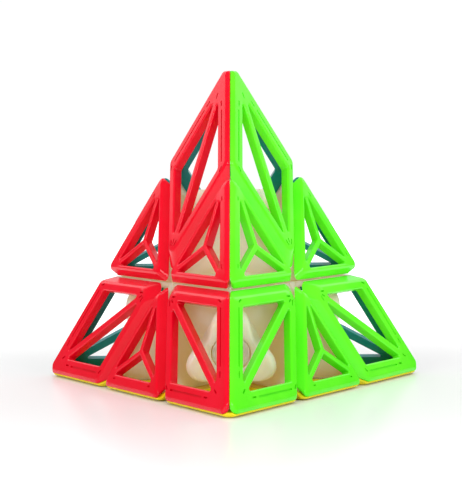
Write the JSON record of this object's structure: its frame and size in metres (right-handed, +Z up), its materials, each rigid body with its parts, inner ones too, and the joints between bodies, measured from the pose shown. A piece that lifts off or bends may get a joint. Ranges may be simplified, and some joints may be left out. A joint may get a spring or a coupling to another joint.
{
  "type": "pyramid twisty puzzle",
  "caption": "Tetrahedral turning puzzle with open coloured frames, pale inner hubs and a sprung core; each corner layer turns about its own axis.",
  "frame": {"origin": "centre of the core, where the four turning axes meet", "axes": "+Z up through the top corner; -Y toward the front corner's edge, +X to the right"},
  "size_m": [0.0924, 0.0805, 0.0757],
  "materials": {
    "red": "moulded red plastic",
    "green": "moulded green plastic",
    "teal": "moulded blue-green plastic",
    "yellow": "moulded yellow plastic",
    "cream": "uncoloured translucent plastic",
    "core": "uncoloured hard plastic",
    "steel": "plated spring steel"
  },
  "bodies": {
    "core": {"core_spider": "core", "screw_top": "steel", "washer_top": "steel", "spring_top": "steel", "screw_front": "steel", "washer_front": "steel", "spring_front": "steel", "screw_right": "steel", "washer_right": "steel", "spring_right": "steel", "screw_left": "steel", "washer_left": "steel", "spring_left": "steel"},
    "corner_top": {"corner_top_hub": "cream", "corner_top_cap": "cream", "corner_top_green_frame": "green", "corner_top_red_frame": "red", "corner_top_teal_frame": "teal"},
    "corner_front": {"corner_front_hub": "cream", "corner_front_cap": "cream", "corner_front_green_frame": "green", "corner_front_red_frame": "red", "corner_front_yellow_frame": "yellow"},
    "corner_right": {"corner_right_hub": "cream", "corner_right_cap": "cream", "corner_right_green_frame": "green", "corner_right_teal_frame": "teal", "corner_right_yellow_frame": "yellow"},
    "corner_left": {"corner_left_hub": "cream", "corner_left_cap": "cream", "corner_left_red_frame": "red", "corner_left_teal_frame": "teal", "corner_left_yellow_frame": "yellow"},
    "edge_top_front": {"edge_top_front_body": "cream", "edge_top_front_green_frame": "green", "edge_top_front_red_frame": "red"},
    "edge_top_right": {"edge_top_right_body": "cream", "edge_top_right_green_frame": "green", "edge_top_right_teal_frame": "teal"},
    "edge_top_left": {"edge_top_left_body": "cream", "edge_top_left_red_frame": "red", "edge_top_left_teal_frame": "teal"},
    "edge_front_right": {"edge_front_right_body": "cream", "edge_front_right_green_frame": "green", "edge_front_right_yellow_frame": "yellow"},
    "edge_right_left": {"edge_right_left_body": "cream", "edge_right_left_teal_frame": "teal", "edge_right_left_yellow_frame": "yellow"},
    "edge_left_front": {"edge_left_front_body": "cream", "edge_left_front_red_frame": "red", "edge_left_front_yellow_frame": "yellow"}
  },
  "joints": [
    {"name": "turn_top", "type": "hinge", "parent": "core", "child": "corner_top", "pos_m": [0, 0, 0], "axis": [0, 0, 1], "range_deg": [-240, 120]},
    {"name": "turn_front", "type": "hinge", "parent": "core", "child": "corner_front", "pos_m": [0, 0, 0], "axis": [0, -0.9428, -0.3333], "range_deg": [-240, 120]},
    {"name": "turn_right", "type": "hinge", "parent": "core", "child": "corner_right", "pos_m": [0, 0, 0], "axis": [0.8165, 0.4714, -0.3333], "range_deg": [-240, 120]},
    {"name": "turn_left", "type": "hinge", "parent": "core", "child": "corner_left", "pos_m": [0, 0, 0], "axis": [-0.8165, 0.4714, -0.3333], "range_deg": [-240, 120]},
    {"name": "edge_top_front_turn", "type": "hinge", "parent": "corner_top", "child": "edge_top_front", "pos_m": [0, 0, 0], "axis": [0, -0.9428, -0.3333], "range_deg": [-240, 120]},
    {"name": "edge_top_right_turn", "type": "hinge", "parent": "corner_top", "child": "edge_top_right", "pos_m": [0, 0, 0], "axis": [0.8165, 0.4714, -0.3333], "range_deg": [-240, 120]},
    {"name": "edge_top_left_turn", "type": "hinge", "parent": "corner_top", "child": "edge_top_left", "pos_m": [0, 0, 0], "axis": [-0.8165, 0.4714, -0.3333], "range_deg": [-240, 120]},
    {"name": "edge_front_right_turn", "type": "hinge", "parent": "corner_front", "child": "edge_front_right", "pos_m": [0, 0, 0], "axis": [0.8165, 0.4714, -0.3333], "range_deg": [-240, 120]},
    {"name": "edge_right_left_turn", "type": "hinge", "parent": "corner_right", "child": "edge_right_left", "pos_m": [0, 0, 0], "axis": [-0.8165, 0.4714, -0.3333], "range_deg": [-240, 120]},
    {"name": "edge_left_front_turn", "type": "hinge", "parent": "corner_left", "child": "edge_left_front", "pos_m": [0, 0, 0], "axis": [0, -0.9428, -0.3333], "range_deg": [-240, 120]}
  ],
  "couplings": [
    {"joint": "edge_top_front_turn", "follows": "turn_front", "ratio": 1},
    {"joint": "edge_top_right_turn", "follows": "turn_right", "ratio": 1},
    {"joint": "edge_top_left_turn", "follows": "turn_left", "ratio": 1},
    {"joint": "edge_front_right_turn", "follows": "turn_right", "ratio": 1},
    {"joint": "edge_right_left_turn", "follows": "turn_left", "ratio": 1},
    {"joint": "edge_left_front_turn", "follows": "turn_front", "ratio": 1}
  ]
}
